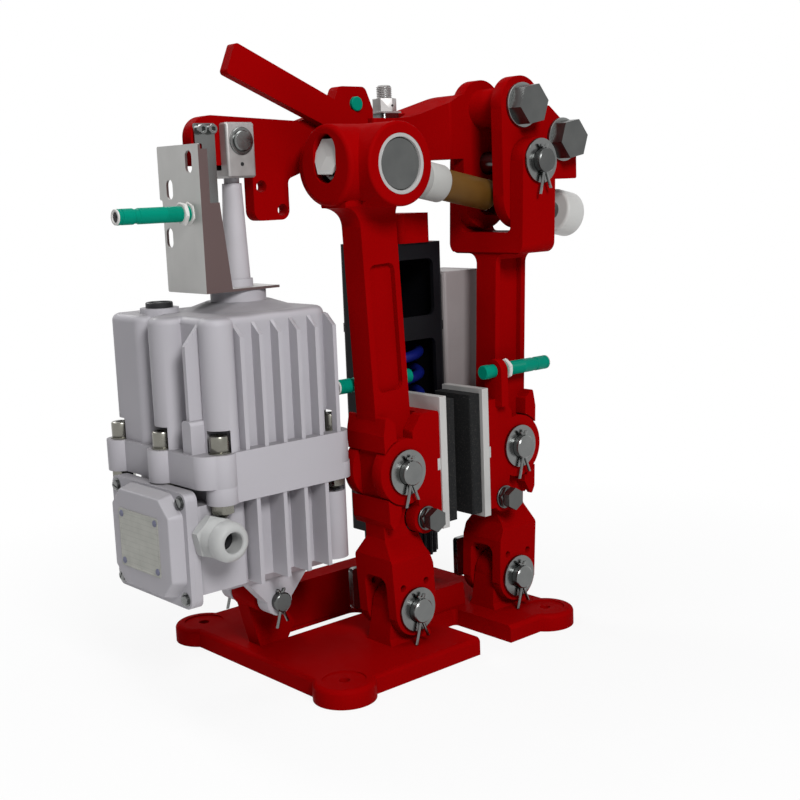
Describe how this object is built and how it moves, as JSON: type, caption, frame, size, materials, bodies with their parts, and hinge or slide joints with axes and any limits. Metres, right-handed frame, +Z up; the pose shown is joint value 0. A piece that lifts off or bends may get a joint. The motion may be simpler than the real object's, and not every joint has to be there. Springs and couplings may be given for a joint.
{
  "type": "thruster disc brake",
  "caption": "Electro-hydraulic thruster disc brake: slotted base, two pivoting levers with flat pads, bell crank, tie spindle, tube-housed spring and upright thruster.",
  "frame": {"origin": "underside of the base plate, in the disc plane midway between the two levers", "axes": "+X along the hinge pins, towards the open side that the disc enters from; +Y across the disc, from the lever beside the thruster to the lever that carries the crank; +Z up"},
  "size_m": [0.246, 0.4303, 0.4985],
  "materials": {
    "red_paint": "gloss paint on cast steel",
    "grey_paint": "satin paint on cast alloy",
    "light_paint": "satin paint",
    "black_paint": "satin paint",
    "zinc_steel": "zinc plated",
    "pale_steel": "plated plate",
    "stainless": "brushed",
    "brass": "dull",
    "blue_spring_steel": "dark blue paint",
    "friction_lining": "matt friction lining",
    "rubber_boot": "matt",
    "white_plastic": "satin",
    "light_plastic": "satin",
    "sensor_plastic": "satin",
    "cast_alloy": "machined"
  },
  "bodies": {
    "base": {"base_frame": "red_paint", "spring_anchor_pin": "zinc_steel"},
    "near_arm": {"near_lever": "red_paint", "near_head_bush": "white_plastic", "near_foot_pin": "zinc_steel", "near_foot_keeper": "zinc_steel", "near_foot_washer": "zinc_steel"},
    "far_arm": {"far_lever": "red_paint", "far_foot_pin": "zinc_steel", "far_foot_keeper": "zinc_steel", "far_lever_washers": "zinc_steel", "crank_pin": "zinc_steel"},
    "near_pad": {"near_pad_holder": "red_paint", "near_backplate": "pale_steel", "near_lining": "friction_lining", "near_pad_pin": "zinc_steel", "near_pad_washer": "zinc_steel", "near_level_bolt": "zinc_steel", "near_wear_sensor": "sensor_plastic"},
    "far_pad": {"far_pad_holder": "red_paint", "far_backplate": "pale_steel", "far_lining": "friction_lining", "far_pad_pin": "zinc_steel", "far_pad_washer": "zinc_steel", "far_level_bolt": "zinc_steel", "far_wear_sensor": "sensor_plastic"},
    "crank": {"bell_crank": "red_paint", "crank_plate": "red_paint", "crank_bolts": "zinc_steel", "crank_nuts": "zinc_steel", "crank_washers": "zinc_steel", "hand_lever": "red_paint", "crank_sensor": "sensor_plastic"},
    "tie": {"tie_trunnion": "zinc_steel", "tie_spindle": "zinc_steel", "tie_nuts": "zinc_steel", "tie_boot": "rubber_boot", "adjuster_tube": "brass", "end_trunnion": "zinc_steel", "end_cap": "white_plastic"},
    "thruster": {"motor_housing": "grey_paint", "thruster_cylinder": "grey_paint", "terminal_box": "grey_paint", "terminal_cover": "grey_paint", "cable_gland": "light_plastic", "thruster_foot_pin": "zinc_steel", "sensor_bracket": "stainless", "stroke_sensor": "sensor_plastic"},
    "thruster_plunger": {"thruster_rod": "zinc_steel", "piston": "cast_alloy", "rod_clevis": "zinc_steel", "clevis_pin": "zinc_steel"},
    "spring_unit": {"spring_tube": "black_paint", "spring_head": "red_paint", "spring_cap": "black_paint", "brake_spring": "blue_spring_steel", "junction_box": "light_paint"},
    "spring_plunger": {"spring_rod": "zinc_steel", "rod_trunnion": "zinc_steel", "rod_nut": "zinc_steel"}
  },
  "joints": [
    {"name": "crank_turn", "type": "hinge", "parent": "far_arm", "child": "crank", "pos_m": [0.03, 0.07733, 0.40376], "axis": [1, 0, 0], "range_deg": [0, 11]},
    {"name": "near_lever_turn", "type": "hinge", "parent": "base", "child": "near_arm", "pos_m": [0.03, -0.0606, 0.04365], "axis": [1, 0, 0], "range_deg": [-0.493, 0]},
    {"name": "far_lever_turn", "type": "hinge", "parent": "base", "child": "far_arm", "pos_m": [0.03, 0.0606, 0.04365], "axis": [1, 0, 0], "range_deg": [0, 0.493]},
    {"name": "near_pad_turn", "type": "hinge", "parent": "near_arm", "child": "near_pad", "pos_m": [0.03, -0.06601, 0.16002], "axis": [1, 0, 0], "range_deg": [0, 0.493]},
    {"name": "far_pad_turn", "type": "hinge", "parent": "far_arm", "child": "far_pad", "pos_m": [0.03, 0.06601, 0.16002], "axis": [1, 0, 0], "range_deg": [-0.493, 0]},
    {"name": "tie_turn", "type": "hinge", "parent": "near_arm", "child": "tie", "pos_m": [0.03, -0.07733, 0.40376], "axis": [1, 0, 0], "range_deg": [0, 0.687]},
    {"name": "thruster_swing", "type": "hinge", "parent": "base", "child": "thruster", "pos_m": [-0.037, -0.157, 0.062], "axis": [1, 0, 0], "range_deg": [0, 0.639]},
    {"name": "thruster_stroke", "type": "slide", "parent": "thruster", "child": "thruster_plunger", "axis": [0, 0, 1], "range_m": [-0.04742, 0]},
    {"name": "spring_unit_swing", "type": "hinge", "parent": "base", "child": "spring_unit", "pos_m": [-0.037, 0.0045, 0.038], "axis": [1, 0, 0], "range_deg": [0, 1.14]},
    {"name": "spring_stroke", "type": "slide", "parent": "spring_unit", "child": "spring_plunger", "axis": [0, 0, 1], "range_m": [-0.01495, 0], "deforming": ["brake_spring"]}
  ],
  "couplings": [
    {"joint": "near_lever_turn", "follows": "crank_turn", "ratio": -0.043957},
    {"joint": "far_lever_turn", "follows": "crank_turn", "ratio": 0.043957},
    {"joint": "near_pad_turn", "follows": "crank_turn", "ratio": 0.043957},
    {"joint": "far_pad_turn", "follows": "crank_turn", "ratio": -0.043957},
    {"joint": "tie_turn", "follows": "crank_turn", "ratio": 0.061272},
    {"joint": "thruster_swing", "follows": "crank_turn", "ratio": 0.05694},
    {"joint": "thruster_stroke", "follows": "crank_turn", "m_per_rad": -0.24457},
    {"joint": "spring_unit_swing", "follows": "crank_turn", "ratio": 0.10191},
    {"joint": "spring_stroke", "follows": "crank_turn", "m_per_rad": -0.077111}
  ]
}
